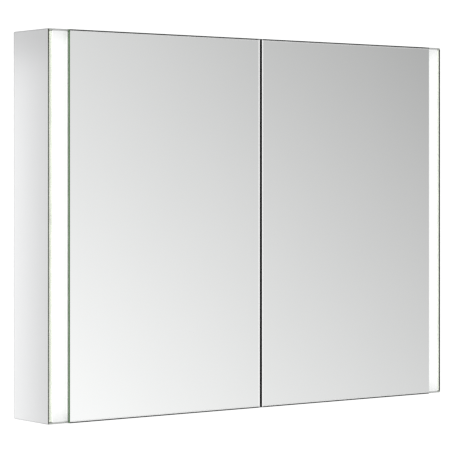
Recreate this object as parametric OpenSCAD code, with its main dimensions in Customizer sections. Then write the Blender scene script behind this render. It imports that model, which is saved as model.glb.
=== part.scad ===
// Wall-hung bathroom mirror cabinet with two hinged double-sided mirror doors
// and a lit glass strip down each side.
// Frame: the wall is the plane y = 0, the front faces -Y, +Z is up, and the
// origin is the centre of the four wall-fixing holes, halfway up the cabinet.

/* [Cabinet body] */
// Width over both side covers
cab_w = 1000; // [800:10:1200]
// Height over the top and bottom panels
cab_h = 750; // [720:2:780]
// Depth from the wall to the front of the light strips
cab_d = 130; // [124:1:150]
// Thickness of the side covers
cover_t = 2; // [1.5:0.5:3]
// Thickness of the top and bottom panels
panel_t = 4; // [3:0.5:6]
// Thickness of the inner walls that carry the doors and shelves
wall_t = 3; // [3:0.5:4]
// Thickness of the centre partition
partition_t = 6; // [6:1:10]
// Width of the post in front of the centre partition
post_w = 28; // [24:1:40]

/* [Back and wall fixing] */
// Depth of the service space behind the back panel
service_d = 13; // [13:0.5:16]
// Thickness of the back panel
back_t = 2; // [1.5:0.5:3]
// Thickness of the inner mirrors on the back panel
inner_mirror_t = 3; // [3:0.5:4]
// Distance between the fixing holes across the cabinet
fix_w = 760; // [500:10:760]
// Distance between the fixing holes up the cabinet
fix_h = 640; // [620:5:645]
// Radius of the fixing holes
fix_r = 3.3; // [2.6:0.1:4.3]
// Height of each wall rail
rail_h = 60; // [40:5:60]
// Radius of the access holes in front of the fixing holes
access_r = 9; // [7:0.5:10]

/* [Doors] */
// Thickness of each of the two mirror panes in a door
pane_t = 3; // [2.5:0.5:4]
// Gap between the front of the cabinet and the back of a door
door_gap = 3.5; // [3.5:0.1:4]
// Gap between the two doors
centre_gap = 4.5; // [2:0.5:5]
// How far the doors stop short of the cabinet's top and bottom
reveal = 1; // [0.5:0.5:3]

/* [Hinges] */
// Radius of the hinge pins
pin_r = 0.7; // [0.6:0.05:0.8]
// Radial running clearance of the door knuckles on the pin
pin_play = 0.04; // [0.02:0.01:0.08]
// Outer radius of the knuckles
knuckle_r = 1.5; // [1.4:0.05:1.5]
// Number of knuckles in each hinge, half of them on the door
knuckles = 24; // [12:2:30]
// Length of each knuckle with its end gap
knuckle_pitch = 30; // [12:1:30]
// Width of the leaf bonded to the door
door_leaf_w = 24; // [15:1:30]
// Width of the leaf screwed to the inner wall
body_leaf_w = 21; // [15:1:22]

/* [Light strips] */
// Width of each light strip
strip_w = 41; // [36:1:60]
// Thickness of the strip glass
strip_t = 4; // [3:0.5:5]
// Thickness of the diffuser behind the strip glass
diffuser_t = 2; // [1.5:0.5:3]
// Depth of the channel behind the diffuser
channel_d = 30; // [20:1:32]
// Spacing of the light-emitting chips
chip_pitch = 20; // [12:1:30]

/* [Shelves] */
// Thickness of the glass shelves
shelf_t = 6; // [5:1:8]
// Front-to-back size of the shelves
shelf_d = 92; // [70:1:94]
// Spacing of the shelf-pin holes
pin_pitch = 32; // [32:1:32]
// Number of shelf-pin holes in each column above and below the middle
pin_steps = 6; // [4:1:6]
// Hole that the shelves rest on, counted from the middle
shelf_step = 4; // [2:1:4]
// Radius of the shelf-pin holes
shelf_hole_r = 2.5; // [2:0.5:3]

/* [Socket and switch] */
// Height of the socket's centre above the inside floor
socket_z = 79; // [50:1:90]
// Radius of the socket's recess
socket_r = 19.5; // [18:0.5:20]
// Height of the light button above the inside floor
button_z = 134; // [125:1:140]
// Radius of the light button
button_r = 8; // [6:0.5:9]
// Travel of the light button
button_travel = 1.2; // [0.8:0.1:1.5]

/* [Hidden] */
$fn = 48;

// half width, half height and front plane of the body
hw = cab_w / 2;
hh = cab_h / 2;
front = -cab_d;
// inside faces of the top and bottom panels
ih = hh - panel_t;
// inner edge of a light strip, which is also the outer edge of a door
strip_in = hw - strip_w;
// outer and inner faces of the inner walls
wall_out = strip_in - 1;
wall_in = wall_out - wall_t;
// fixing holes' offset from the middle, kept clear of the inner walls
fix_x = min(fix_w / 2, wall_in - 60);
// width and depth of the step along the rear edge of a side cover
step_w = 5;
step_d = 0.8;
// half thickness of the centre partition, and the post's thickness
ph = partition_t / 2;
post_t = 3;
// faces of the back panel and of the inner mirrors
back_y = -service_d - back_t;
mirror_y = back_y - inner_mirror_t;
// doors: back face, bond line, front face and half height
door_back = front - door_gap;
door_mid = door_back - pane_t;
door_front = door_mid - pane_t;
dh = hh - reveal;
// hinge axis, halfway across the door gap and in line with the door's edge
axis_x = strip_in;
axis_y = front - door_gap / 2;
leaf_t = 1;
door_leaf_t = 0.8;
// room cut in a leaf round the other leaf's knuckles, and gap at their ends
knuckle_room = knuckle_r + 0.35;
end_gap = 0.3;
hinge_h = min(knuckles * knuckle_pitch, 2 * dh - 24);
pitch = hinge_h / knuckles;
// shelf-pin rows, front and rear, and the pins' size
row_front = front + 30;
row_rear = mirror_y - 16;
pin_out = 7;
pin_rad = shelf_hole_r - 0.05;
shelf_z = shelf_step * pin_pitch;
shelf_back = mirror_y - 2;
// the service lines all run in the middle of the space behind the back panel
service_y = -service_d / 2 - 0.5;
line_driver = 245;
line_socket = 230;
line_led = 200;
// light-strip channel
channel_front = front + strip_t + diffuser_t;
channel_back = channel_front + channel_d;
channel_w = 1.5;
strip_mid = (wall_out + hw - cover_t) / 2;
board_t = 1.2;
board_h = ih - 29;
// driver box
driver_w = 28;
driver_y0 = -60;
driver_y1 = -20;
driver_z0 = -80;
driver_z1 = 120;
// socket and switch centres, and plate thickness
fit_y = -64;
sz = -ih + socket_z;
bz = -ih + button_z;
panel_top = bz + 28;
plate_t = 2;
magnet_z = dh - 32;
bumper_z = dh - 72;
catch_x = 8;

// a box given by its limits along each axis
module block(x0, x1, y0, y1, z0, z1) {
  translate([x0, y0, z0]) cube([x1 - x0, y1 - y0, z1 - z0]);
}

// parts drawn for the right-hand side, mirrored to the left when s is negative
module on_side(s) {
  if (s > 0) {
    children();
  } else {
    mirror([1, 0, 0]) children();
  }
}

// a round bar along X between two positions
module bar_x(x0, x1, y, z, r) {
  translate([x0, y, z]) rotate([0, 90, 0]) cylinder(h = x1 - x0, r = r);
}

// a round bar along Y between two positions
module bar_y(y0, y1, x, z, r) {
  translate([x, y1, z]) rotate([90, 0, 0]) cylinder(h = y1 - y0, r = r);
}

// a round bar along Z between two positions
module bar_z(z0, z1, x, y, r) {
  translate([x, y, z0]) cylinder(h = z1 - z0, r = r);
}

// rounded corner of a cable
module bend(x, y, z, r) {
  translate([x, y, z]) sphere(r = r);
}

// both columns of shelf-pin holes through a wall from x0 to x1
module pin_holes(x0, x1) {
  for (y = [row_front, row_rear], k = [-pin_steps:pin_steps]) {
    bar_x(x0 - 1, x1 + 1, y, k * pin_pitch, shelf_hole_r);
  }
}

// ---- body ----

// sheet with a shallow step along its rear edge
module side_cover(s) {
  color("silver")
    on_side(s) union() {
      block(hw - cover_t, hw, front + strip_t, -step_w, -hh, hh);
      block(hw - cover_t, hw - step_d, -step_w, 0, -hh + step_d, hh - step_d);
    }
}

// top or bottom panel, reaching further forward behind the doors
module end_panel(top) {
  z0 = top ? ih : -hh;
  z1 = top ? hh : -ih;
  color("silver")
    union() {
      block(-hw + cover_t, hw - cover_t, front + strip_t, 0, z0, z1);
      block(-wall_out, wall_out, front, front + strip_t + 1, z0, z1);
    }
}

// the right wall stops above the removable service panel
module inner_wall(s) {
  color("gainsboro")
    on_side(s) difference() {
      block(wall_in, wall_out, front, 0, s > 0 ? panel_top : -ih, ih);
      pin_holes(wall_in, wall_out);
      // passages for the cables behind the back panel
      bar_x(wall_in - 1, wall_out + 1, service_y, line_led, 2.5);
      if (s > 0) {
        bar_x(wall_in - 1, wall_out + 1, service_y, line_driver, 3.5);
        bar_x(wall_in - 1, wall_out + 1, service_y, line_socket, 3.5);
      }
    }
}

// lower part of the right wall, which carries the socket and the switch
module service_panel() {
  color("gainsboro")
    difference() {
      block(wall_in, wall_out, front, 0, -ih, panel_top);
      bar_x(wall_in - 1, wall_out + 1, fit_y, sz, socket_r + 1.6);
      block(wall_in - 1, wall_out + 1, fit_y - 12, fit_y + 12, bz - 12, bz + 12);
    }
}

module centre_partition() {
  color("gainsboro")
    difference() {
      block(-ph, ph, front + post_t, back_y, -ih, ih);
      pin_holes(-ph, ph);
    }
}

module centre_post() {
  color("silver")
    block(-post_w / 2, post_w / 2, front, front + post_t, -ih, ih);
}

module back_panel() {
  color("whitesmoke")
    difference() {
      block(-wall_in, wall_in, back_y, -service_d, -ih, ih);
      fixing_points() bar_y(back_y - 1, -service_d + 1, 0, 0, access_r);
    }
}

// repeats something at the four wall-fixing points
module fixing_points() {
  for (x = [-fix_x, fix_x], z = [-fix_h / 2, fix_h / 2]) {
    translate([x, 0, z]) children();
  }
}

module inner_mirror(s) {
  color("lightblue")
    difference() {
      on_side(s) block(ph, wall_in, mirror_y, back_y, -ih, ih);
      fixing_points() bar_y(mirror_y - 1, back_y + 1, 0, 0, access_r);
    }
}

module wall_rail(up) {
  zc = up * fix_h / 2;
  color("silver")
    difference() {
      block(-wall_in, wall_in, -service_d, 0, zc - rail_h / 2, zc + rail_h / 2);
      block(-wall_in - 1, wall_in + 1, -service_d - 1, -4,
        zc - rail_h / 2 + 3, zc + rail_h / 2 - 3);
      fixing_points() bar_y(-5, 1, 0, 0, fix_r);
    }
}

module access_caps() {
  color("white")
    fixing_points() {
      bar_y(mirror_y - 1.5, mirror_y, 0, 0, access_r + 2.5);
      bar_y(mirror_y, -service_d, 0, 0, access_r - 0.1);
    }
}

module corner_brackets() {
  color("silver")
    for (s = [-1, 1], up = [-1, 1]) {
      on_side(s) {
        zt = up > 0 ? ih - 2 : -ih;
        zl = up > 0 ? ih - 20 : -ih;
        block(wall_out, wall_out + 18, -84, -54, zt, zt + 2);
        block(wall_out, wall_out + 2, -84, -54, zl, zl + 20);
      }
    }
}

// ---- light strips ----

module strip_glass(s) {
  color("honeydew")
    on_side(s) block(strip_in, hw, front, front + strip_t, -dh, dh);
}

module diffuser(s) {
  color("white")
    on_side(s) block(wall_out + 0.5, hw - cover_t, front + strip_t, channel_front,
      -ih + 1, ih - 1);
}

// open-fronted aluminium channel that carries the light board
module led_channel(s) {
  feed = s > 0 ? driver_z0 - 30 : line_led;
  color("silver")
    on_side(s) difference() {
      block(wall_out, hw - cover_t, channel_front, channel_back, -ih + 1, ih - 1);
      block(wall_out + channel_w, hw - cover_t - channel_w, channel_front - 1,
        channel_back - channel_w, -ih, ih);
      bar_y(channel_back - 5, channel_back + 1, strip_mid, feed, 2);
    }
}

module led_board(s) {
  color("whitesmoke")
    on_side(s) block(strip_mid - 6, strip_mid + 6, channel_back - channel_w - board_t,
      channel_back - channel_w, -board_h, board_h);
}

module led_chips(s) {
  steps = floor((board_h - 8) / chip_pitch);
  yb = channel_back - channel_w - board_t;
  color("khaki")
    on_side(s) for (k = [-steps:steps]) {
      block(strip_mid - 1.75, strip_mid + 1.75, yb - 0.8, yb,
        k * chip_pitch - 1.75, k * chip_pitch + 1.75);
    }
}

// ---- electrical parts ----

module led_driver() {
  color("dimgray")
    block(wall_out, wall_out + driver_w, driver_y0, driver_y1, driver_z0, driver_z1);
}

// shallow box behind the back panel, open towards the wall
module terminal_box() {
  color("gainsboro")
    difference() {
      block(-45, 45, -service_d, -3, 215, 275);
      block(-43, 43, -service_d + 2, -2, 217, 273);
      bar_x(42, 46, service_y, line_driver, 2.6);
      bar_x(42, 46, service_y, line_socket, 2.6);
    }
}

module terminal_lid() {
  color("gainsboro")
    difference() {
      block(-45, 45, -3, -1, 215, 275);
      bar_y(-4, 0, 0, 245, 6);
    }
}

// rubber ring that the supply cable passes through
module cable_grommet() {
  color("black")
    translate([0, 0, 245]) rotate([90, 0, 0]) difference() {
      union() {
        cylinder(h = 4.5, r = 6);
        cylinder(h = 1, r = 8);
        translate([0, 0, 3]) cylinder(h = 1.5, r = 8);
      }
      translate([0, 0, -1]) cylinder(h = 7, r = 4);
    }
}

// from the terminal box to the driver
module driver_lead() {
  x = wall_out + 11;
  r = 2.5;
  color("white") {
    union() {
      bar_x(40, x, service_y, line_driver, r);
      bend(x, service_y, line_driver, r);
      bar_y(-40, service_y, x, line_driver, r);
      bend(x, -40, line_driver, r);
      bar_z(driver_z1, line_driver, x, -40, r);
    }
  }
}

// from the terminal box to the socket
module socket_lead() {
  x = wall_out + 30;
  r = 2.5;
  color("white") {
    union() {
      bar_x(40, x, service_y, line_socket, r);
      bend(x, service_y, line_socket, r);
      bar_z(sz, line_socket, x, service_y, r);
      bend(x, service_y, sz, r);
      bar_y(fit_y, service_y, x, sz, r);
      bend(x, fit_y, sz, r);
      bar_x(wall_out + 17, x, fit_y, sz, r);
    }
  }
}

// from the switch housing up to the driver
module switch_lead() {
  color("white")
    bar_z(bz + 11.5, driver_z0, wall_out + 12, -56, 1.5);
}

// from the driver to the light board in the same column
module led_lead_right() {
  r = 1.5;
  color("white")
    union() {
      bar_z(driver_z0 - 30, driver_z0, strip_mid, -40, r);
      bend(strip_mid, -40, driver_z0 - 30, r);
      bar_y(channel_back - channel_w, -40, strip_mid, driver_z0 - 30, r);
    }
}

// from the driver across behind the back panel to the other light board
module led_lead_left() {
  r = 1.5;
  x = strip_mid;
  color("white")
    union() {
      bar_z(driver_z1, line_led, x, -30, r);
      bend(x, -30, line_led, r);
      bar_y(-30, service_y, x, line_led, r);
      bend(x, service_y, line_led, r);
      bar_x(-x, x, service_y, line_led, r);
      bend(-x, service_y, line_led, r);
      bar_y(channel_back - channel_w, service_y, -x, line_led, r);
    }
}

// square cover plate round the socket's recess
module socket_plate() {
  color("white")
    difference() {
      block(wall_in - plate_t, wall_in, fit_y - 26, fit_y + 26, sz - 26, sz + 26);
      bar_x(wall_in - plate_t - 1, wall_in + 1, fit_y, sz, socket_r);
    }
}

// cup with the two contact holes in its floor
module socket_insert() {
  color("white")
    difference() {
      bar_x(wall_in, wall_out + 17, fit_y, sz, socket_r + 1.5);
      bar_x(wall_in - 1, wall_out + 10, fit_y, sz, socket_r);
      for (y = [-9.5, 9.5]) {
        bar_x(wall_out + 9, wall_out + 15, fit_y + y, sz, 2.5);
      }
    }
}

module switch_housing() {
  color("white")
    difference() {
      union() {
        block(wall_in - plate_t, wall_in, fit_y - 26, fit_y + 26, bz - 15, bz + 15);
        block(wall_in, wall_out + 17, fit_y - 11.5, fit_y + 11.5, bz - 11.5, bz + 11.5);
      }
      bar_x(wall_in - plate_t - 1, wall_in + 8, fit_y, bz, button_r + 0.1);
    }
}

module light_button() {
  color("silver")
    bar_x(wall_in - plate_t - 2, wall_in + 8 - button_travel - 0.3, fit_y, bz, button_r);
}

// ---- shelves ----

module shelves(s) {
  color("paleturquoise")
    on_side(s) for (up = [-1, 1]) {
      z = up * shelf_z + pin_rad;
      block(ph + 0.75, wall_in - 1.75, shelf_back - shelf_d, shelf_back, z, z + shelf_t);
    }
}

// four pins under each shelf
module shelf_pins() {
  color("silver")
    for (s = [-1, 1], up = [-1, 1], y = [row_front, row_rear]) {
      on_side(s) bar_x(wall_in - pin_out, wall_out, y, up * shelf_z, pin_rad);
      on_side(s) bar_x(0.15, ph + pin_out, y, up * shelf_z, pin_rad);
    }
}

// ---- door stops and catches on the post ----

module catch_magnets() {
  color("dimgray")
    for (s = [-1, 1], up = [-1, 1]) {
      bar_y(front - 1.5, front, s * catch_x, up * magnet_z, 5);
    }
}

module door_bumpers() {
  color("gray")
    for (s = [-1, 1], up = [-1, 1]) {
      bar_y(door_back + 0.3, front, s * catch_x, up * bumper_z, 4);
    }
}

// ---- hinges ----

// height at which knuckle k starts
function knuckle_z(k) = -hinge_h / 2 + k * pitch;

// leaf that wraps the front edge of the inner wall and is screwed to its inside
module body_leaf(s) {
  h = pitch - end_gap;
  color("silver")
    on_side(s) difference() {
      union() {
        block(wall_in - leaf_t, axis_x - knuckle_room, front - leaf_t, front,
          -hinge_h / 2, hinge_h / 2);
        block(wall_in - leaf_t, wall_in, front, front + body_leaf_w,
          -hinge_h / 2, hinge_h / 2);
        for (k = [0:2:knuckles - 1]) {
          z = knuckle_z(k) + end_gap / 2;
          block(axis_x - knuckle_room - 0.1, axis_x - 0.1, front - leaf_t, front, z, z + h);
          translate([axis_x, axis_y, z]) cylinder(h = h, r = knuckle_r);
        }
      }
      translate([axis_x, axis_y, -hinge_h / 2 - 1]) cylinder(h = hinge_h + 2, r = pin_r);
    }
}

// leaf bonded to the back of the door
module door_leaf(s) {
  h = pitch - end_gap;
  color("silver")
    on_side(s) difference() {
      union() {
        block(axis_x - door_leaf_w, axis_x - knuckle_room, door_back,
          door_back + door_leaf_t, -hinge_h / 2, hinge_h / 2);
        for (k = [1:2:knuckles - 1]) {
          z = knuckle_z(k) + end_gap / 2;
          block(axis_x - knuckle_room - 0.1, axis_x - 0.1, door_back,
            door_back + door_leaf_t, z, z + h);
          translate([axis_x, axis_y, z]) cylinder(h = h, r = knuckle_r);
        }
      }
      translate([axis_x, axis_y, -hinge_h / 2 - 1])
        cylinder(h = hinge_h + 2, r = pin_r + pin_play);
    }
}

module hinge_pin(s) {
  color("silver")
    on_side(s) bar_z(-hinge_h / 2 - 2, hinge_h / 2 + 2, axis_x, axis_y, pin_r);
}

// caps over both ends of the pin
module hinge_caps() {
  color("silver")
    for (x = [-axis_x, axis_x]) {
      difference() {
        bar_z(hinge_h / 2 + 0.5, hinge_h / 2 + 9, x, axis_y, knuckle_r);
        bar_z(hinge_h / 2 - 1, hinge_h / 2 + 2, x, axis_y, pin_r);
      }
      difference() {
        bar_z(-hinge_h / 2 - 9, -hinge_h / 2 - 0.5, x, axis_y, knuckle_r);
        bar_z(-hinge_h / 2 - 2, -hinge_h / 2 + 1, x, axis_y, pin_r);
      }
    }
}

module leaf_screws() {
  color("silver")
    for (s = [-1, 1], k = [-5:2:5]) {
      on_side(s)
        bar_x(wall_in - leaf_t - 0.9, wall_in - leaf_t, front + 13, k * hinge_h / 12, 3);
    }
}

// ---- doors ----

module door_pane(s, y0) {
  color("lightblue")
    on_side(s) block(centre_gap / 2, strip_in, y0, y0 + pane_t, -dh, dh);
}

module strike_plates(s) {
  color("gray")
    for (up = [-1, 1]) {
      bar_y(door_back, door_back + 1, s * catch_x, up * magnet_z, 6);
    }
}

side_cover(-1);  // side_cover_left
side_cover(1);  // side_cover_right
end_panel(true);  // top_panel
end_panel(false);  // bottom_panel
inner_wall(-1);  // inner_wall_left
inner_wall(1);  // inner_wall_right
service_panel();
centre_partition();
centre_post();
back_panel();
inner_mirror(-1);  // inner_mirror_left
inner_mirror(1);  // inner_mirror_right
wall_rail(1);  // upper_rail
wall_rail(-1);  // lower_rail
access_caps();
corner_brackets();
strip_glass(-1);  // strip_glass_left
strip_glass(1);  // strip_glass_right
diffuser(-1);  // diffuser_left
diffuser(1);  // diffuser_right
led_channel(-1);  // led_channel_left
led_channel(1);  // led_channel_right
led_board(-1);  // led_board_left
led_board(1);  // led_board_right
led_chips(-1);  // led_chips_left
led_chips(1);  // led_chips_right
led_driver();
terminal_box();
terminal_lid();
cable_grommet();
driver_lead();
socket_lead();
switch_lead();
led_lead_left();
led_lead_right();
socket_plate();
socket_insert();
switch_housing();
light_button();
shelves(-1);  // shelves_left
shelves(1);  // shelves_right
shelf_pins();
catch_magnets();
door_bumpers();
body_leaf(-1);  // body_leaf_left
body_leaf(1);  // body_leaf_right
leaf_screws();
hinge_pin(-1);  // hinge_pin_left
hinge_pin(1);  // hinge_pin_right
hinge_caps();
door_pane(-1, door_front);  // front_mirror_left
door_pane(-1, door_mid);  // back_mirror_left
door_leaf(-1);  // door_leaf_left
strike_plates(-1);  // strike_plates_left
door_pane(1, door_front);  // front_mirror_right
door_pane(1, door_mid);  // back_mirror_right
door_leaf(1);  // door_leaf_right
strike_plates(1);  // strike_plates_right
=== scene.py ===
"""Looks of the lit mirror cabinet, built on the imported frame: metres, front faces -Y."""
import math

import bmesh
import bpy
from mathutils import Matrix, Vector


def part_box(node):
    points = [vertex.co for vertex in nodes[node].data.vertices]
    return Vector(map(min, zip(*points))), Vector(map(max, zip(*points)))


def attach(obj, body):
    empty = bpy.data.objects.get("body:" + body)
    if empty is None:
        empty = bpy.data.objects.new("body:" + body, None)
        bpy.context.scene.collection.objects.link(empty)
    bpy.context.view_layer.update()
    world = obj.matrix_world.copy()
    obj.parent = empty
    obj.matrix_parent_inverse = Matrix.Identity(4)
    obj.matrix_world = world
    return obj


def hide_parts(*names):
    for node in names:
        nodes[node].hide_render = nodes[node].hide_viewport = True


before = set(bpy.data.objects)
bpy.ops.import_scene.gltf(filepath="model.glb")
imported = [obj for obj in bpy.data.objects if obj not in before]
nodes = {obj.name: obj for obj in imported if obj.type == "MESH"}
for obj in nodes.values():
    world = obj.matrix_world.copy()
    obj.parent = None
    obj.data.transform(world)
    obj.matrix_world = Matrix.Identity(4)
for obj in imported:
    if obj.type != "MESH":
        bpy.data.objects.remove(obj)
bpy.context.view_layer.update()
scene = bpy.context.scene

MM = 0.001
MAIN = "cabinet"
SIDES = ("left", "right")

# half width and half height of the cabinet, and half the gap between the doors
HALF_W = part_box("side_cover_right")[1].x
HALF_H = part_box("side_cover_right")[1].z
HALF_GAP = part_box("front_mirror_right")[0].x

# widths of the lines drawn in the materials
HEM_SHADE = 1.8 * MM            # painted shade along the top and bottom of a side cover
REAR_SHADE = 5.2 * MM       # the same painted shade along its back edge
FRONT_HIGHLIGHT = 3.0 * MM          # painted highlight along the front of a side cover
SHADOW_LINE = 2.2 * MM    # painted shadow: dark line at the top and bottom of a door
FROSTED_HIGHLIGHT = 4.6 * MM          # matt white stripe, measured from the same edge: a painted highlight
GAP_SHADE_SHIFT = 0.75 * MM  # how far the middle of the painted gap shade is left of the gap's
GAP_SHADE_LAP = 0.8 * MM     # how far it laps past half the gap
PALE_HIGHLIGHT_LAP = 3.4 * MM       # the same for the light line beside it, a painted highlight that also glows
STRIP_BORDER = 8.0 * MM   # clear border of the strip glass
STRIP_ARRIS = 0.3 * MM    # its ground outer edge
STRIP_END = 3.2 * MM      # grey line across its ends
GLOW_FULL = 30 * MM       # the glow is full from here inwards
GLOW_LOW = 5 * MM         # and weakest from here outwards
SHELF_EDGE = 0.55 * MM    # depth to which a shelf's edges look green
SKIN = 0.05 * MM          # margin that catches an edge face only

# colours of the painted shade in the doors' gap and of the cut edges: the mirrors' and the strip
# glass's
GAP_SHADE = (0.012, 0.013, 0.012)
EDGE_DARK, EDGE_LIGHT = (0.040, 0.120, 0.030), (0.115, 0.270, 0.085)
STRIP_EDGE_DARK, STRIP_EDGE_LIGHT = (0.022, 0.028, 0.011), (0.050, 0.062, 0.028)

# places that no node gives
LED_LEAD_Y = -30 * MM               # where the long light lead leaves the driver
SOCKET_DEPTH = 15 * MM              # depth of the socket's recess
SOCKET_LEAD_END = 17 * MM           # how far behind the inner wall the socket's lead ends
PANEL_SCREW_Z = (-0.26, -0.13, 0.0, 0.13)
BRACKET_SCREW_Y = (-0.077, -0.061)
CLIP_X = {"driver_lead": (0.12, 0.25, 0.38), "socket_lead": (0.09, 0.22, 0.35),
          "led_lead_left": (-0.40, -0.27, -0.14, 0.03, 0.16, 0.29, 0.42)}
# radius and bend radius of each lead in millimetres
LEADS = {"driver_lead": (2.5, 9.0), "socket_lead": (2.5, 9.0), "switch_lead": (1.5, 5.0),
         "led_lead_right": (1.5, 5.0), "led_lead_left": (1.5, 5.0)}

# level directions in the studio: where the mirrors look in the main view, and across that
AHEAD = (0.597, -0.802)
ACROSS = (0.802, 0.597)


# ---------------------------------------------------------------- node helpers

class Graph:
    """Short calls for building one node tree."""

    def __init__(self, tree):
        self.tree = tree
        tree.nodes.clear()

    def node(self, kind, **props):
        made = self.tree.nodes.new(kind)
        for key, value in props.items():
            setattr(made, key, value)
        return made

    def feed(self, socket, value):
        """Links another node's output to a socket, or sets the socket's own value."""
        if isinstance(value, bpy.types.NodeSocket):
            self.tree.links.new(value, socket)
        elif value is not None:
            socket.default_value = value

    def math(self, operation, a, b=None, c=None):
        made = self.node("ShaderNodeMath", operation=operation)
        for socket, value in zip(made.inputs, (a, b, c)):
            self.feed(socket, value)
        return made.outputs[0]

    def add(self, a, b):
        return self.math("ADD", a, b)

    def sub(self, a, b):
        return self.math("SUBTRACT", a, b)

    def mul(self, a, b):
        return self.math("MULTIPLY", a, b)

    def max(self, a, b):
        """Larger of two values, which joins two masks."""
        return self.math("MAXIMUM", a, b)

    def abs(self, value):
        return self.math("ABSOLUTE", value)

    def above(self, value, limit):
        """Mask of 1 over the limit and 0 under it."""
        return self.math("GREATER_THAN", value, limit)

    def below(self, value, limit):
        return self.math("LESS_THAN", value, limit)

    def invert(self, mask):
        """One less the mask."""
        return self.math("SUBTRACT", 1.0, mask)

    def dot(self, a, b, pair):
        """Sum of two values, each times a number."""
        return self.add(self.mul(a, pair[0]), self.mul(b, pair[1]))

    def mix(self, factor, a, b):
        """Colour mix: a where factor is 0, b where it is 1. The Mix node repeats its socket
        names for each data type, so its colours go by number."""
        made = self.node("ShaderNodeMix", data_type="RGBA")
        self.feed(made.inputs["Factor"], factor)
        self.feed(made.inputs[6], a)
        self.feed(made.inputs[7], b)
        return made.outputs[2]

    def ramp(self, value, stops):
        """Colour ramp from (position, grey or colour) pairs."""
        made = self.node("ShaderNodeValToRGB")
        items = made.color_ramp.elements
        while len(items) < len(stops):
            items.new(0.5)
        for item, (place, shade) in zip(items, stops):
            item.position = place
            item.color = rgba(shade)
        self.feed(made.inputs[0], value)
        return made.outputs[0]

    def span(self, value, low, high, out_low=0.0, out_high=1.0):
        """Linear map of a range, clamped at both ends."""
        made = self.node("ShaderNodeMapRange", clamp=True)
        for socket, number in zip(made.inputs, (value, low, high, out_low, out_high)):
            self.feed(socket, number)
        return made.outputs[0]

    def place(self, scale=(1, 1, 1)):
        """Object coordinates, which are the row frame's metres, scaled."""
        coords = self.node("ShaderNodeTexCoord")
        mapping = self.node("ShaderNodeMapping")
        mapping.inputs["Scale"].default_value = scale
        self.feed(mapping.inputs["Vector"], coords.outputs["Object"])
        return mapping.outputs[0]

    def xyz(self):
        """Separate x, y and z of the object coordinates."""
        split = self.node("ShaderNodeSeparateXYZ")
        self.feed(split.inputs[0], self.place())
        return split.outputs

    def noise(self, scale, stretch=(1, 1, 1), detail=4.0, rough=0.55):
        made = self.node("ShaderNodeTexNoise")
        made.inputs["Scale"].default_value = scale
        made.inputs["Detail"].default_value = detail
        made.inputs["Roughness"].default_value = rough
        self.feed(made.inputs["Vector"], self.place(stretch))
        return made.outputs[0]

    def bump(self, height, strength, distance):
        made = self.node("ShaderNodeBump")
        made.inputs["Strength"].default_value = strength
        made.inputs["Distance"].default_value = distance
        self.feed(made.inputs["Height"], height)
        return made.outputs[0]

    def surface(self, **inputs):
        """Principled shader wired to the output; sockets are named with _ for spaces."""
        shader = self.node("ShaderNodeBsdfPrincipled")
        for key, value in inputs.items():
            self.feed(shader.inputs[key.replace("_", " ")], value)
        out = self.node("ShaderNodeOutputMaterial")
        self.tree.links.new(shader.outputs[0], out.inputs[0])
        return shader


def rgba(shade):
    """Full colour from a grey or a colour."""
    if isinstance(shade, (int, float)):
        return (shade, shade, shade, 1.0)
    return (*shade[:3], 1.0)


def material(name):
    """New node material, and the Graph that builds it."""
    made = bpy.data.materials.new(name)
    made.use_nodes = True
    return made, Graph(made.node_tree)


def give(mat, *names):
    """Puts one material on CAD nodes."""
    for name in names:
        mesh = nodes[name].data
        mesh.materials.clear()
        mesh.materials.append(mat)


def both(stem):
    """The left and right nodes of a pair."""
    return [f"{stem}_{side}" for side in SIDES]


# ---------------------------------------------------------------- materials

def brushed_metal(name, colour, rough, stretch, metallic=1.0, wear=0.05, grain=0.15):
    """Metal with fine drawn lines: stretch is large across the lines and small along them."""
    made, g = material(name)
    lines = g.noise(1.0, stretch, detail=6.0, rough=0.7)
    tone = g.dot(lines, g.noise(9.0, detail=3.0), (0.6, 0.4))
    dark = tuple(c * (1.0 - wear) for c in colour)
    light = tuple(min(1.0, c * (1.0 + wear)) for c in colour)
    g.surface(
        Base_Color=g.ramp(tone, [(0.3, dark), (0.7, light)]),
        Metallic=metallic,
        Roughness=g.span(tone, 0.25, 0.75, rough - 0.05, rough + 0.07),
        Normal=g.bump(lines, grain, 0.0001),
    )
    return made


def side_sheet(name):
    """Satin side cover: fine upright grain, painted shade along the top, bottom and back edges,
    and a painted highlight along the front."""
    made, g = material(name)
    lines = g.noise(1.0, (900, 900, 5), detail=6.0, rough=0.7)
    tone = g.dot(lines, g.noise(5.0, detail=3.0), (0.6, 0.4))
    _, y, z = g.xyz()
    low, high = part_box("side_cover_right")
    # painted shade: darker lines along the top, bottom and back edges, mixed towards near black
    hem_shade = g.mul(g.above(g.abs(z), high.z - HEM_SHADE), 0.26)
    rear_shade = g.mul(g.above(y, high.y - REAR_SHADE), 0.13)
    # painted highlight: near-white line along the front edge
    front_highlight = g.mul(g.below(y, low.y + FRONT_HIGHLIGHT), 0.8)
    satin = g.ramp(tone, [(0.3, (0.825, 0.830, 0.835)), (0.7, (0.855, 0.860, 0.865))])
    satin = g.mix(front_highlight, satin, rgba(0.97))
    g.surface(
        Base_Color=g.mix(g.max(hem_shade, rear_shade), satin, rgba(0.05)),
        Metallic=0.20,
        Roughness=g.span(tone, 0.25, 0.75, 0.39, 0.51),
        Normal=g.bump(lines, 0.08, 0.0001),
    )
    return made


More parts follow.
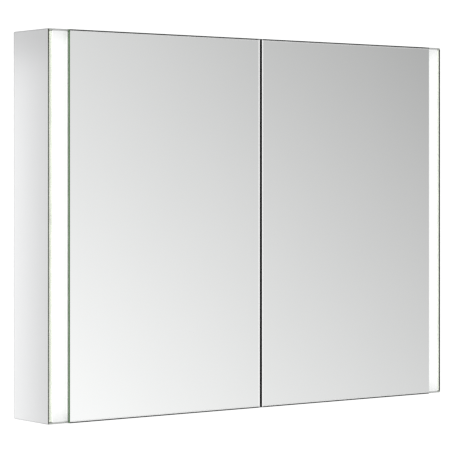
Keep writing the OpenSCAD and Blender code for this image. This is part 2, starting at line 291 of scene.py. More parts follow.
def plastic(name, colour, rough, pebble=1800.0, depth=0.00004, shade=0.04, coat=0.0):
    """Moulded plastic: fine pebbled skin and faint cloudiness."""
    made, g = material(name)
    skin = g.noise(pebble, detail=2.0)
    cloud = g.noise(14.0, detail=4.0)
    dark = tuple(c * (1.0 - shade) for c in colour)
    light = tuple(min(1.0, c * (1.0 + shade)) for c in colour)
    g.surface(
        Base_Color=g.ramp(cloud, [(0.3, dark), (0.7, light)]),
        Roughness=g.span(cloud, 0.3, 0.7, rough - 0.05, rough + 0.06),
        Coat_Weight=coat,
        Normal=g.bump(skin, 0.3, depth),
    )
    return made


def edge_shade(g, dark=EDGE_DARK, light=EDGE_LIGHT):
    """Deep green of a cut glass edge, with grinding marks along it."""
    marks = g.noise(1.0, (2600, 2600, 60), detail=3.0)
    return g.ramp(marks, [(0.3, dark), (0.75, light)])


def border_mask(g, low, high, margin):
    """1 on the outer margin of an upright pane and on its edges, 0 inside."""
    x, _, z = g.xyz()
    middle = (low + high) / 2
    half = (high - low) / 2
    away_x = g.above(g.abs(g.sub(x, middle.x)), half.x - margin)
    away_z = g.above(g.abs(g.sub(z, middle.z)), half.z - margin)
    return g.max(away_x, away_z)


def mirror_pane(name, node):
    """Silvered pane with a green ground edge, and near-black painted shade where the doors close. A
    front pane also has a painted shadow line at its top and bottom, a painted highlight inside it
    and a faintly glowing painted highlight beside the gap."""
    made, g = material(name)
    low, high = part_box(node)
    rim = border_mask(g, low, high, SKIN)
    film = g.noise(3.0, detail=5.0)
    silver = g.ramp(film, [(0.3, (0.925, 0.935, 0.930)), (0.7, (0.940, 0.948, 0.943))])
    rough = g.span(film, 0.45, 0.85, 0.0, 0.012)
    edge = edge_shade(g)
    x, _, z = g.xyz()
    # distance from the middle of the painted gap shade, which laps a little over the left pane
    apart = g.abs(g.add(x, GAP_SHADE_SHIFT))
    # painted shade: near-black colour on the doors' meeting edges, where the gap lies in shade
    gap_shade = g.below(apart, HALF_GAP + GAP_SHADE_LAP)
    matt, painted_glow = rim, 0.0
    if node.startswith("front"):
        level = g.abs(z)
        # painted shadow: near-black line along the door's top and bottom edges
        line = g.above(level, high.z - SHADOW_LINE)
        # painted highlight: matt white stripe inside the shadow line, in place of a bright arris
        frosted_highlight = g.mul(g.above(level, high.z - FROSTED_HIGHLIGHT), 0.35)
        # painted highlight: matt white line beside the gap
        pale_highlight = g.below(apart, HALF_GAP + PALE_HIGHLIGHT_LAP)
        highlight_band = g.mul(g.max(frosted_highlight, g.mul(pale_highlight, 0.9)), g.invert(line))
        # the painted shadow line in near black, then the painted highlights in white
        silver = g.mix(line, silver, rgba((0.030, 0.032, 0.030)))
        silver = g.mix(highlight_band, silver, rgba(0.97))
        rough = g.add(rough, g.mul(highlight_band, 0.40))
        matt = g.max(rim, highlight_band)
        # painted highlight: the light line beside the gap glows faintly, though the pane is no lamp
        painted_glow = g.mul(g.sub(pale_highlight, gap_shade), 0.30)
    g.surface(
        Base_Color=g.mix(gap_shade, g.mix(rim, silver, edge), rgba(GAP_SHADE)),
        Metallic=g.invert(g.max(matt, gap_shade)),
        Roughness=g.add(rough, g.mul(g.max(rim, gap_shade), 0.25)),
        Emission_Color=rgba(1.0),
        Emission_Strength=painted_glow,
    )
    return made


def shelf_glass(name, tint):
    """Clear plate glass with faint waviness and polished green edges."""
    made, g = material(name)
    low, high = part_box("shelves_right")
    x, y, _ = g.xyz()
    across = g.abs(x)
    deep = g.abs(g.sub(y, (low.y + high.y) / 2))
    front = g.above(deep, (high.y - low.y) / 2 - SHELF_EDGE)
    ends = g.max(g.above(across, high.x - SHELF_EDGE), g.below(across, low.x + SHELF_EDGE))
    edge = g.max(front, ends)
    wave = g.noise(6.0, detail=2.0)
    streak = g.noise(1.0, (40, 40, 2500), detail=3.0)
    body = g.ramp(wave, [(0.3, tint), (0.7, tuple(min(1, c * 1.02) for c in tint))])
    green = g.ramp(streak, [(0.3, (0.10, 0.30, 0.21)), (0.7, (0.22, 0.48, 0.36))])
    g.surface(
        Base_Color=g.mix(edge, body, green),
        Roughness=g.add(g.span(wave, 0.3, 0.7, 0.0, 0.015), g.mul(edge, 0.10)),
        Transmission_Weight=g.invert(g.mul(edge, 0.7)),
        IOR=1.52,
        Normal=g.bump(wave, 0.02, 0.0005),
    )
    return made


def lit_strip(name, side):
    """Strip glass: satin white and glowing inside, clear green border at the outer edge."""
    made, g = material(name)
    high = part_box(f"strip_glass_{side}")[1]
    x, _, z = g.xyz()
    across, level = g.abs(x), g.abs(z)
    outer = g.above(across, HALF_W - STRIP_BORDER)
    edge = g.max(g.above(across, HALF_W - STRIP_ARRIS), g.above(level, high.z - SKIN))
    ends = g.above(level, high.z - STRIP_END)
    clear = g.mul(outer, g.invert(g.max(edge, ends)))
    inside = g.invert(g.max(outer, g.max(edge, ends)))
    satin = g.noise(1400.0, detail=2.0)
    white = g.ramp(satin, [(0.3, (0.90, 0.92, 0.92)), (0.7, (0.95, 0.96, 0.96))])
    white = g.mix(ends, white, rgba((0.66, 0.67, 0.66)))
    border = g.mix(outer, white, rgba((0.52, 0.545, 0.50)))
    glow = g.span(level, high.z - GLOW_FULL, high.z - GLOW_LOW, 1.0, 0.6)
    matt = g.span(satin, 0.3, 0.7, 0.22, 0.34)
    g.surface(
        Base_Color=g.mix(edge, border, edge_shade(g, STRIP_EDGE_DARK, STRIP_EDGE_LIGHT)),
        Roughness=g.mul(matt, g.invert(clear)),
        Transmission_Weight=clear,
        IOR=1.5,
        Emission_Color=(1.0, 0.99, 0.98, 1.0),
        Emission_Strength=g.mul(g.mul(glow, inside), 0.42),
    )
    return made


def light_source(name, colour, strength):
    """Opal or chip surface that gives light, a little uneven."""
    made, g = material(name)
    cloud = g.noise(30.0, detail=2.0)
    g.surface(
        Base_Color=g.ramp(cloud, [(0.3, colour), (0.7, tuple(min(1, c * 1.03) for c in colour))]),
        Roughness=0.45,
        Emission_Color=rgba(colour),
        Emission_Strength=g.span(cloud, 0.2, 0.8, strength * 0.9, strength * 1.1),
    )
    return made


def paint_all():
    """A finished material for every CAD node that stays in view; returns those of the added
    pieces."""
    give(side_sheet("satin_side"), *both("side_cover"))
    give(brushed_metal("satin_panel", (0.80, 0.805, 0.81), 0.36, (5, 900, 900),
                       metallic=0.45, wear=0.025, grain=0.1),
         "top_panel", "bottom_panel")
    give(brushed_metal("satin_inside", (0.74, 0.745, 0.75), 0.34, (900, 900, 6),
                       metallic=0.7, wear=0.04, grain=0.12),
         *both("inner_wall"), "service_panel", "centre_partition", "centre_post")
    give(plastic("white_sheet", (0.80, 0.80, 0.79), 0.42, pebble=900.0, depth=0.00008, shade=0.012),
         "back_panel")
    give(brushed_metal("mill_metal", (0.62, 0.625, 0.63), 0.40, (4, 700, 700),
                       metallic=0.9, wear=0.08, grain=0.2),
         "upper_rail", "lower_rail")
    give(brushed_metal("mill_upright", (0.62, 0.625, 0.63), 0.40, (700, 700, 4),
                       metallic=0.9, wear=0.08, grain=0.2),
         *both("led_channel"), "corner_brackets")
    for side in SIDES:
        for stem in ("front_mirror", "back_mirror", "inner_mirror"):
            node = f"{stem}_{side}"
            give(mirror_pane(f"silvered_{node}", node), node)
        give(lit_strip(f"lit_strip_{side}", side), f"strip_glass_{side}")
    give(light_source("opal", (0.95, 0.95, 0.93), strength=0.6), *both("diffuser"))
    give(plastic("board", (0.88, 0.88, 0.84), 0.35, pebble=400.0), *both("led_board"))
    give(light_source("chips", (0.98, 0.93, 0.70), strength=1.5), *both("led_chips"))
    made = {
        "white": plastic("white_plastic", (0.86, 0.86, 0.85), 0.22, coat=0.3, shade=0.015),
        "black": plastic("driver_case", (0.055, 0.056, 0.060), 0.5, pebble=1200.0, depth=0.0001),
        "magnet": plastic("magnet_case", (0.16, 0.16, 0.165), 0.4),
        "silicone": plastic("silicone", (0.62, 0.63, 0.62), 0.3),
        "sheath": plastic("sheath", (0.70, 0.70, 0.685), 0.4),
        "button": brushed_metal("button_metal", (0.74, 0.74, 0.745), 0.28, (2, 1200, 60),
                                wear=0.06, grain=0.2),
        "steel": brushed_metal("fixing_steel", (0.60, 0.60, 0.605), 0.25, (300, 300, 300),
                               wear=0.06, grain=0.1),
        "brass": brushed_metal("contact_brass", (0.78, 0.62, 0.30), 0.3, (300, 300, 300),
                               wear=0.08, grain=0.1),
    }
    give(made["white"], "socket_plate", "socket_insert", "switch_housing")
    give(plastic("box_plastic", (0.66, 0.67, 0.67), 0.45), "terminal_box", "terminal_lid")
    give(plastic("rubber", (0.020, 0.020, 0.021), 0.6), "cable_grommet")
    give(shelf_glass("shelf_glass", (0.88, 0.96, 0.93)), *both("shelves"))
    give(brushed_metal("hinge_satin", (0.88, 0.895, 0.87), 0.4, (900, 900, 30),
                       metallic=0.25, wear=0.04, grain=0.1),
         *both("body_leaf"), *both("door_leaf"), *both("hinge_pin"))
    give(plastic("cap_nylon", (0.78, 0.79, 0.775), 0.45), "hinge_caps")
    return made


def ease_edges():
    """Small ground or broken edges on the pieces whose edges show."""
    widths = {1.0: both("front_mirror"),
              0.6: ["socket_plate", "switch_housing", "terminal_box", "terminal_lid"],
              0.4: both("back_mirror") + both("strip_glass") + ["corner_brackets"],
              0.3: both("side_cover") + ["centre_post", "upper_rail", "lower_rail"],
              0.5: ["top_panel", "bottom_panel"] + both("shelves")}
    for width, names in widths.items():
        for name in names:
            ease = nodes[name].modifiers.new("ease", "BEVEL")
            ease.width = width * MM
            ease.segments = 1
            ease.limit_method = "ANGLE"


# ---------------------------------------------------------------- added pieces

def to_mesh(bm):
    """Finished mesh from a bmesh, with even normals and smooth shading up to 35 degrees."""
    bmesh.ops.recalc_face_normals(bm, faces=bm.faces)
    mesh = bpy.data.meshes.new("part")
    bm.to_mesh(mesh)
    bm.free()
    mesh.polygons.foreach_set("use_smooth", [True] * len(mesh.polygons))
    mesh.set_sharp_from_angle(angle=math.radians(35))
    return mesh


def loft(bm, rings, capped=True):
    """Quads between rings of equally many points, and a face over each end."""
    count = len(rings[0])
    if capped:
        bm.faces.new(rings[0])
        bm.faces.new(rings[-1])
    for first, second in zip(rings, rings[1:]):
        for k in range(count):
            n = (k + 1) % count
            bm.faces.new((first[k], first[n], second[n], second[k]))


def lathe(profile, closed=False, steps=40):
    """Turned part about +Z from (radius, height) pairs in millimetres."""
    bm = bmesh.new()
    rings = []
    for radius, height in profile:
        turns = steps if radius > 0.001 else 1
        angles = [2 * math.pi * k / steps for k in range(turns)]
        rings.append([bm.verts.new((radius * MM * math.cos(a), radius * MM * math.sin(a),
                                    height * MM)) for a in angles])
    pairs = list(zip(rings, rings[1:]))
    if closed:
        pairs.append((rings[-1], rings[0]))
    for lower, upper in pairs:
        for k in range(steps):
            loop = [ring[j % len(ring)] for ring, j in
                    ((lower, k), (lower, (k + 1) % steps), (upper, (k + 1) % steps), (upper, k))]
            corners = list(dict.fromkeys(loop))
            if len(corners) > 2:
                bm.faces.new(corners)
    return to_mesh(bm)


def slab(bm, low, high):
    """Adds a box to a bmesh, limits in millimetres."""
    made = bmesh.ops.create_cube(bm, size=1.0)["verts"]
    for v in made:
        v.co = Vector([(a if c < 0 else b) * MM for c, a, b in zip(v.co, low, high)])


def cut(mesh, tool):
    """Mesh with another mesh taken out of it."""
    body = bpy.data.objects.new("body", mesh)
    knife = bpy.data.objects.new("knife", tool)
    for thing in (body, knife):
        scene.collection.objects.link(thing)
    work = body.modifiers.new("cut", "BOOLEAN")
    work.operation = "DIFFERENCE"
    work.solver = "EXACT"
    work.object = knife
    bpy.context.view_layer.update()
    done = bpy.data.meshes.new_from_object(body.evaluated_get(
        bpy.context.evaluated_depsgraph_get()))
    for thing in (body, knife):
        bpy.data.objects.remove(thing)
    return done


def screw(r, h):
    """Domed screw head of radius r and height h in millimetres, standing on z = 0, with a
    cross recess."""
    dome = lathe([(0, -0.2), (r * 0.9, -0.2), (r, 0), (r, 0.2 * h), (0.94 * r, 0.5 * h),
                  (0.78 * r, 0.78 * h), (0.5 * r, 0.95 * h), (0, h)])
    arm, half, deep = 0.58 * r, 0.13 * r, 0.35 * h
    outline = [(arm, half), (half, half), (half, arm), (-half, arm), (-half, half), (-arm, half),
               (-arm, -half), (-half, -half), (-half, -arm), (half, -arm), (half, -half),
               (arm, -half)]
    bm = bmesh.new()
    floor = [bm.verts.new((x * MM * 0.8, y * MM * 0.8, deep * MM)) for x, y in outline]
    lid = [bm.verts.new((x * MM, y * MM, (h + 0.3) * MM)) for x, y in outline]
    loft(bm, [floor, lid])
    return cut(dome, to_mesh(bm))


def spot(place, axis):
    """Matrix that puts a part's +Z along an axis at a place in metres."""
    turn = Vector((0, 0, 1)).rotation_difference(Vector(axis)).to_matrix().to_4x4()
    return Matrix.Translation(Vector(place)) @ turn


def add_piece(name, mat, copies, body=MAIN, stands_for=()):
    """One object from (mesh, matrix) copies, riding on a body."""
    bm = bmesh.new()
    for mesh, matrix in copies:
        part = mesh.copy()
        part.transform(matrix)
        bm.from_mesh(part)
    joined = bpy.data.meshes.new(name)
    bm.to_mesh(joined)
    bm.free()
    joined.polygons.foreach_set("use_smooth", [True] * len(joined.polygons))
    joined.set_sharp_from_angle(angle=math.radians(35))
    joined.materials.append(mat)
    piece = bpy.data.objects.new(name, joined)
    scene.collection.objects.link(piece)
    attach(piece, body)
    if stands_for:
        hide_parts(*stands_for)


def mid(node):
    """Centre of a node's box."""
    low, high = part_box(node)
    return (low + high) / 2


def corners(node, inset):
    """Four (x, z) places that far inside the corners of a node's box."""
    low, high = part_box(node)
    return [(x, z) for x in (low.x + inset, high.x - inset)
            for z in (low.z + inset, high.z - inset)]


def make_screws(mats):
    """Screws of the hinge leaves, back panel, terminal lid and brackets."""
    low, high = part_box("leaf_screws")
    radius = (high.y - low.y) / 2 / MM
    head = screw(radius, 0.9)
    reach = high.z - radius * MM
    copies = []
    for k in (-5, -3, -1, 1, 3, 5):
        for sign in (-1, 1):
            place = (sign * high.x, (low.y + high.y) / 2, reach * k / 5)
            copies.append((head, spot(place, (-sign, 0, 0))))
    add_piece("leaf_screw_heads", mats["steel"], copies,
              stands_for=("leaf_screws",))

    pan = screw(3.0, 1.1)
    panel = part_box("back_panel")
    copies = []
    for x in (panel[0].x + 9 * MM, 0.0, panel[1].x - 9 * MM):
        for z in PANEL_SCREW_Z:
            copies.append((pan, spot((x, panel[1].y, z), (0, 1, 0))))
    small = screw(2.4, 0.8)
    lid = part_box("terminal_lid")[1].y
    for x, z in corners("terminal_lid", 6 * MM):
        copies.append((small, spot((x, lid, z), (0, 1, 0))))
    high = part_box("corner_brackets")[1]
    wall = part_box("inner_wall_right")[1].x
    for sign in (-1, 1):
        for up in (-1, 1):
            for y in BRACKET_SCREW_Y:
                flat = (sign * (wall + 11 * MM), y, up * (high.z - 2 * MM))
                tall = (sign * (wall + 2 * MM), y, up * (high.z - 13 * MM))
                copies.append((pan, spot(flat, (0, 0, -up))))
                copies.append((pan, spot(tall, (sign, 0, 0))))
    add_piece("fixing_screws", mats["steel"], copies)


def make_shelf_pins(mats):
    """Turned shelf pins with a collar against the wall."""
    low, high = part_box("shelf_pins")
    radius = 2.45
    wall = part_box("inner_wall_right")[0].x
    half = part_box("centre_partition")[1].x
    copies = []
    for start, face, way in ((high.x, wall, -1), (0.15 * MM, half, 1)):
        seat = abs(face - start) / MM
        end = seat + 7.0
        pin = lathe([(0, 0), (radius - 0.4, 0), (radius, 0.4), (radius, seat), (3.7, seat),
                     (4.0, seat + 0.15), (4.0, seat + 0.45), (3.7, seat + 0.6),
                     (radius, seat + 0.6), (radius, end - 0.5), (radius - 0.5, end), (0, end)])
        for sign in (-1, 1):
            for y in (low.y + radius * MM, high.y - radius * MM):
                for z in (low.z + radius * MM, high.z - radius * MM):
                    copies.append((pin, spot((sign * start, y, z), (sign * way, 0, 0))))
    add_piece("turned_shelf_pins", mats["steel"], copies,
              stands_for=("shelf_pins",))


def make_stops(mats):
    """Pot magnets and domed bumpers on the post, dished strike plates on the doors."""
    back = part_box("catch_magnets")[1].y
    pot = lathe([(0, 0), (5, 0), (5, 1.2), (4.7, 1.5), (3.7, 1.5), (3.5, 1.25), (1.8, 1.25),
                 (1.2, 0.7), (0, 0.7)])
    copies = [(pot, spot((x, back, z), (0, -1, 0)))
              for x, z in corners("catch_magnets", 5 * MM)]
    add_piece("pot_magnets", mats["magnet"], copies,
              stands_for=("catch_magnets",))
    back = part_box("door_bumpers")[1].y
    dome = lathe([(0, 0), (4, 0), (4, 1.3), (3.75, 2.0), (3.0, 2.7), (1.7, 3.1), (0, 3.2)])
    copies = [(dome, spot((x, back, z), (0, -1, 0)))
              for x, z in corners("door_bumpers", 4 * MM)]
    add_piece("domed_bumpers", mats["silicone"], copies,
              stands_for=("door_bumpers",))
    plate = lathe([(0, 0), (6, 0), (6, 0.6), (5.6, 1.0), (2.4, 1.0), (1.5, 0.5), (0, 0.5)])
    for side in SIDES:
        node = f"strike_plates_{side}"
        low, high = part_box(node)
        copies = [(plate, spot((mid(node).x, low.y, z), (0, 1, 0)))
                  for z in (low.z + 6 * MM, high.z - 6 * MM)]
        add_piece(f"dished_strikes_{side}", mats["steel"], copies,
                  body=f"{side}_door", stands_for=(node,))


def make_caps(mats):
    """Low domed caps with a pry notch over the fixing holes."""
    low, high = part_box("access_caps")
    deep = (high.y - low.y) / MM - 1.5
    cap = lathe([(0, -deep), (8.6, -deep), (8.9, 0.3 - deep), (8.9, 0), (11.5, 0), (11.5, 0.4),
                 (11.2, 0.8), (10.2, 1.15), (7.5, 1.4), (0, 1.5)])
    notch = bmesh.new()
    slab(notch, (-1.6, 10.2, 0.45), (1.6, 12.5, 2.5))
    cap = cut(cap, to_mesh(notch))
    face = low.y + 1.5 * MM
    copies = [(cap, spot((x, face, z), (0, -1, 0)))
              for x, z in corners("access_caps", 11.5 * MM)]
    add_piece("domed_access_caps", mats["white"], copies,
              stands_for=("access_caps",))


def make_button(mats):
    """Dished push button with a bright rim groove."""
    low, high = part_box("light_button")
    r = (high.z - low.z) / 2 / MM
    long = (high.x - low.x) / MM
    turned = lathe([(0, 0), (r, 0), (r, long - 1.0), (r - 0.25, long - 0.3), (r - 0.9, long),
                    (r - 1.5, long), (r - 1.6, long - 0.35), (r - 2.0, long - 0.35),
                    (r - 2.1, long - 0.05), (4.2, long - 0.35), (2.2, long - 0.6),
                    (0, long - 0.7)])
    centre = mid("light_button")
    seat = spot((high.x, centre.y, centre.z), (-1, 0, 0))
    add_piece("dished_button", mats["button"], [(turned, seat)],
              body="light_button", stands_for=("light_button",))


def make_socket(mats):
    """Spring earth clips, contact tubes and the centre screw inside the socket's recess."""
    centre = mid("socket_plate")
    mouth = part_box("socket_plate")[0].x
    floor = mouth + SOCKET_DEPTH
    head = screw(2.6, 0.9)
    add_piece("socket_screw", mats["steel"],
              [(head, spot((floor, centre.y, centre.z), (-1, 0, 0)))])
    contact = lathe([(2.4, -4.0), (2.4, -0.6), (1.9, -0.6), (1.9, -4.0)], closed=True)
    add_piece("socket_contacts", mats["brass"],
              [(contact, spot((floor, centre.y + y, centre.z), (-1, 0, 0)))
               for y in (-9.5 * MM, 9.5 * MM)])
    path = [(14.9, 17.6), (11.5, 17.2), (8.5, 16.3), (6.5, 16.0), (4.5, 16.6), (3.0, 18.6),
            (2.2, 19.2)]
    copies = []
    for up in (-1, 1):
        bm = bmesh.new()
        rows = []
        for x, z in path:
            rows.append([bm.verts.new((mouth + x * MM, centre.y + y * MM,
                                       centre.z + up * (z + t) * MM))
                         for y, t in ((-2.2, 0), (2.2, 0), (2.2, 0.25), (-2.2, 0.25))])
        loft(bm, rows)
        copies.append((to_mesh(bm), Matrix.Identity(4)))
    add_piece("socket_earth_clips", mats["steel"], copies)


def tube(points, radius, bend):
    """Round cable along a square-cornered route whose corners are rounded to a bend radius."""
    turn_steps, sides = 12, 24
    line = [Vector(points[0])]
    for before, corner, after in zip(points, points[1:], points[2:]):
        into = (Vector(corner) - Vector(before)).normalized()
        out = (Vector(after) - Vector(corner)).normalized()
        centre = Vector(corner) + (out - into) * bend
        for k in range(turn_steps + 1):
            a = math.pi / 2 * k / turn_steps
            line.append(centre + (into * math.sin(a) - out * math.cos(a)) * bend)
    line.append(Vector(points[-1]))
    angles = [2 * math.pi * k / sides for k in range(sides)]
    bm = bmesh.new()
    rings = []
    way = (line[1] - line[0]).normalized()
    across = way.orthogonal().normalized()
    for k, point in enumerate(line):
        ahead = (line[min(k + 1, len(line) - 1)] - line[max(k - 1, 0)]).normalized()
        across = way.rotation_difference(ahead) @ across
        way = ahead
        up = way.cross(across)
        rings.append([bm.verts.new(point + (across * math.cos(a) + up * math.sin(a)) * radius)
                      for a in angles])
    loft(bm, rings)
    return to_mesh(bm)


def lead_route(node, radius):
    """Corner points of a lead, from the box of its square-cornered CAD node."""
    low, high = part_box(node)
    r = Vector((1, 1, 1)) * radius
    x0, y0, z0 = low + r
    x1, y1, z1 = high - r
    socket_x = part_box("inner_wall_right")[1].x + SOCKET_LEAD_END
    return {
        "driver_lead": [(low.x, y1, z1), (x1, y1, z1), (x1, y0, z1), (x1, y0, low.z)],
        "socket_lead": [(low.x, y1, z1), (x1, y1, z1), (x1, y1, z0), (x1, y0, z0),
                        (socket_x, y0, z0)],
        "switch_lead": [(x0, y0, low.z), (x0, y0, high.z)],
        "led_lead_right": [(x0, y1, high.z), (x0, y1, z0), (x0, low.y, z0)],
        "led_lead_left": [(x1, LED_LEAD_Y, low.z), (x1, LED_LEAD_Y, z1), (x1, y1, z1),
                          (x0, y1, z1), (x0, low.y, z1)],
    }[node]


def make_leads(mats):
    """Cables with rounded bends, along the routes of the CAD leads."""
    for node, (radius, bend) in LEADS.items():
        cable = tube(lead_route(node, radius * MM), radius * MM, bend * MM)
        add_piece(f"round_{node}", mats["sheath"],
                  [(cable, Matrix.Identity(4))], stands_for=(node,))


def clip(inner, rise):
    """Saddle clip over a cable along X: legs down to z = 0, with a nail lug on one side."""
    outer = inner + 1.2
    bm = bmesh.new()
    arc = [math.pi * k / 16 for k in range(17)]
    outline = [(outer, 0.0)] + [(outer * math.cos(a), rise + outer * math.sin(a)) for a in arc]
    outline += [(-outer, 0.0), (-inner, 0.0)]
    outline += [(inner * math.cos(a), rise + inner * math.sin(a)) for a in reversed(arc)]
    outline += [(inner, 0.0)]
    ends = [[bm.verts.new((x * MM, y * MM, z * MM)) for y, z in outline] for x in (-3.0, 3.0)]
    half = len(outline) // 2
    last = len(outline) - 1
    for ring in ends:
        for k in range(half - 1):
            bm.faces.new((ring[k], ring[k + 1], ring[last - k - 1], ring[last - k]))
    loft(bm, ends, capped=False)
    slab(bm, (-3.0, outer - 0.3, 0.0), (3.0, outer + 5.0, 2.6))
    bmesh.ops.recalc_face_normals(bm, faces=bm.faces)
    bmesh.ops.bevel(bm, geom=[e for e in bm.edges if e.calc_face_angle(0) > 1.0],
                    offset=0.25 * MM, segments=2, affect="EDGES")
    return to_mesh(bm)


def make_clips(mats):
    """Nailed saddle clips along the leads behind the back panel."""
    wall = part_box("back_panel")[1].y
    nail = lathe([(0, -0.2), (1.5, -0.2), (1.6, 0.3), (1.2, 0.7), (0, 0.85)], steps=24)
    flat = spot((0, 0, 0), (0, 1, 0))
    clips, nails = [], []
    for node, places in CLIP_X.items():
        radius = LEADS[node][0]
        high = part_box(node)[1]
        z = high.z - radius * MM
        saddle = clip(radius + 0.05, (high.y - radius * MM - wall) / MM)
        lug = Matrix.Translation((0, (radius + 3.9) * MM, 2.6 * MM))
        for x in places:
            seat = Matrix.Translation((x, wall, z)) @ flat
            clips.append((saddle, seat))
            nails.append((nail, seat @ lug))
    add_piece("cable_clips", mats["white"], clips)
    add_piece("clip_nails", mats["steel"], nails)


def make_driver(mats):
    """Ribbed driver case with end caps, and two feet screwed to the wall."""
    low, high = (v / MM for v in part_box("led_driver"))
    side_pitch, front_pitch = 3.4, 3.9
    # between its end caps, the ribbed middle is a little slimmer
    bottom, top = low.z + 10, high.z - 10
    bm = bmesh.new()
    slab(bm, (low.x, low.y + 0.9, bottom), (high.x - 0.9, high.y - 0.9, top))
    for z0, z1 in ((low.z, bottom), (top, high.z)):
        slab(bm, (low.x, low.y, z0), (high.x, high.y, z1))
    for k in range(7):
        x = low.x + 3.0 + side_pitch * k
        slab(bm, (x, low.y + 0.2, bottom), (x + 1.4, high.y - 0.2, top))
    for k in range(9):
        y = low.y + 3.2 + front_pitch * k
        slab(bm, (high.x - 1.2, y, bottom), (high.x - 0.1, y + 1.6, top))
    for z0, z1 in ((low.z - 11, low.z + 1), (high.z - 1, high.z + 11)):
        slab(bm, (low.x, low.y + 3, z0), (low.x + 1.6, low.y + 15, z1))
    bmesh.ops.bevel(bm, geom=list(bm.edges), offset=0.3 * MM, segments=2, affect="EDGES")
    add_piece("ribbed_driver", mats["black"], [(to_mesh(bm), Matrix.Identity(4))],
              stands_for=("led_driver",))
    head = screw(2.6, 1.0)
    copies = [(head, spot(((low.x + 1.6) * MM, (low.y + 9) * MM, z * MM), (1, 0, 0)))
              for z in (low.z - 6, high.z + 6)]
    for z, up in ((low.z, -1), (high.z, 1)):
        for y in (low.y + 5, high.y - 5):
            copies.append((head, spot(((high.x - 5) * MM, y * MM, z * MM), (0, 0, up))))
    add_piece("driver_screws", mats["steel"], copies)


# ---------------------------------------------------------------- stage

def make_world():
    """Soft white studio. The camera sees it as plain white; what lights the cabinet and shows
    in its mirrors is a slow grey fall-off."""
    world = bpy.data.worlds.new("studio")
    world.use_nodes = True
    scene.world = world
    g = Graph(world.node_tree)
    coords = g.node("ShaderNodeTexCoord")
    split = g.node("ShaderNodeSeparateXYZ")
    g.feed(split.inputs[0], coords.outputs["Generated"])
    x, y, z = split.outputs
    height = g.abs(z)

    # round the main view's reflection: brighter to the left and downwards, then back to grey
    near = g.span(g.dot(x, y, AHEAD), 0.80, 0.97)
    slope = g.dot(g.dot(x, y, ACROSS), z, (1.72, 1.55))
    shade = g.sub(0.7245, slope)
    back = g.sub(2.52, g.mul(shade, 1.4))
    wide = g.max(0.36, g.math("SMOOTH_MIN", shade, back, 0.2))

    # everywhere else: soft waves, darker straight ahead, at the left flank and up and down
    phase = g.add(g.dot(x, z, (6.0, 8.0)), 0.09)
    soft = g.add(g.mul(g.math("SINE", phase), 0.18), 0.99)
    facing = g.span(g.mul(y, -1.0), 0.60, 0.90, 1.0, 0.80)
    flank = g.span(g.dot(x, y, (-0.94, 0.34)), 0.45, 0.85, 1.0, 0.58)
    upright = g.invert(g.mul(height, 0.32))
    rest = g.mul(g.mul(flank, upright), g.mul(soft, facing))

    tone = g.add(g.mul(near, wide), g.mul(g.invert(near), rest))
    # dark patches high and low on the right, which the doors' top and bottom edges reflect
    steep = g.dot(x, height, (0.60, 0.80))
    tone = g.mul(tone, g.span(steep, 0.86, 0.97, 1.0, 0.08))
    grey = g.node("ShaderNodeCombineColor")
    for socket in grey.inputs[:3]:
        g.feed(socket, tone)
    lit = g.node("ShaderNodeBackground")
    g.feed(lit.inputs[0], grey.outputs[0])
    plain = g.node("ShaderNodeBackground")
    g.feed(plain.inputs[0], rgba(1.0))
    g.feed(plain.inputs[1], 1.1)
    path = g.node("ShaderNodeLightPath")
    join = g.node("ShaderNodeMixShader")
    g.feed(join.inputs[0], path.outputs["Is Camera Ray"])
    g.feed(join.inputs[1], lit.outputs[0])
    g.feed(join.inputs[2], plain.outputs[0])
    out = g.node("ShaderNodeOutputWorld")
    g.feed(out.inputs[0], join.outputs[0])


def area_light(name, place, target, width, height, power):
    """Rectangular lamp at a place, facing a target."""
    data = bpy.data.lights.new(name, "AREA")
    data.shape = "RECTANGLE"
    data.size = width
    data.size_y = height
    data.energy = power
    lamp = bpy.data.objects.new(name, data)
    scene.collection.objects.link(lamp)
    lamp.location = place
    aim = Vector(target) - Vector(place)
    lamp.rotation_euler = aim.to_track_quat("-Z", "Y").to_euler()


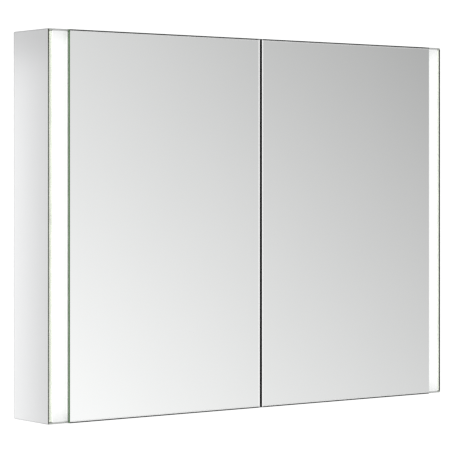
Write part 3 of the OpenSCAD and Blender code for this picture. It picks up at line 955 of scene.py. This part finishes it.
def make_floor():
    """Pale floor a normal mounting height below the cabinet, fading out towards its rim."""
    reach, steps = 2.6, 128
    drop = -HALF_H - 1.15
    mesh = bpy.data.meshes.new("floor")
    turns = [2 * math.pi * k / steps for k in range(steps)]
    rim = [(reach * math.cos(a), reach * math.sin(a), drop) for a in turns]
    mesh.from_pydata(rim, [], [range(steps)])
    floor = bpy.data.objects.new("floor", mesh)
    scene.collection.objects.link(floor)
    made, g = material("pale_floor")
    speck = g.noise(40.0, detail=5.0)
    top = g.surface(Base_Color=g.ramp(speck, [(0.3, 0.95), (0.7, 0.97)]), Roughness=0.6)
    # nothing shows from below, and nothing past the rim
    x, y, _ = g.xyz()
    away = g.math("SQRT", g.add(g.mul(x, x), g.mul(y, y)))
    fade = g.span(away, 0.35 * reach, 0.97 * reach)
    faces = g.node("ShaderNodeNewGeometry")
    clear = g.node("ShaderNodeBsdfTransparent")
    pick = g.node("ShaderNodeMixShader")
    g.feed(pick.inputs[0], g.max(faces.outputs["Backfacing"], fade))
    g.feed(pick.inputs[1], top.outputs[0])
    g.feed(pick.inputs[2], clear.outputs[0])
    out = next(n for n in g.tree.nodes if n.type == "OUTPUT_MATERIAL")
    g.feed(out.inputs[0], pick.outputs[0])
    mesh.materials.append(made)


def make_camera():
    """Level camera with a long lens, set to the photograph's viewing angle."""
    data = bpy.data.cameras.new("camera")
    data.lens = 165.13
    data.sensor_width = 36.0
    data.shift_y = -0.1040
    data.dof.use_dof = False
    camera = bpy.data.objects.new("camera", data)
    scene.collection.objects.link(camera)
    camera.location = (-2.590, -3.4808, 0.4632 - HALF_H)
    camera.rotation_euler = (math.radians(90), 0, -math.radians(36.84))
    scene.camera = camera


scene.view_settings.view_transform = "Standard"
make_camera()
make_world()
make_floor()
area_light("left_rear", place=(-0.62, 0.10, -0.345), target=(-0.5, 0.10, -0.345),
           width=0.10, height=1.36, power=0.79)
shared = paint_all()
ease_edges()
for make in (make_screws, make_shelf_pins, make_stops, make_caps, make_button, make_socket,
             make_leads, make_clips, make_driver):
    make(shared)
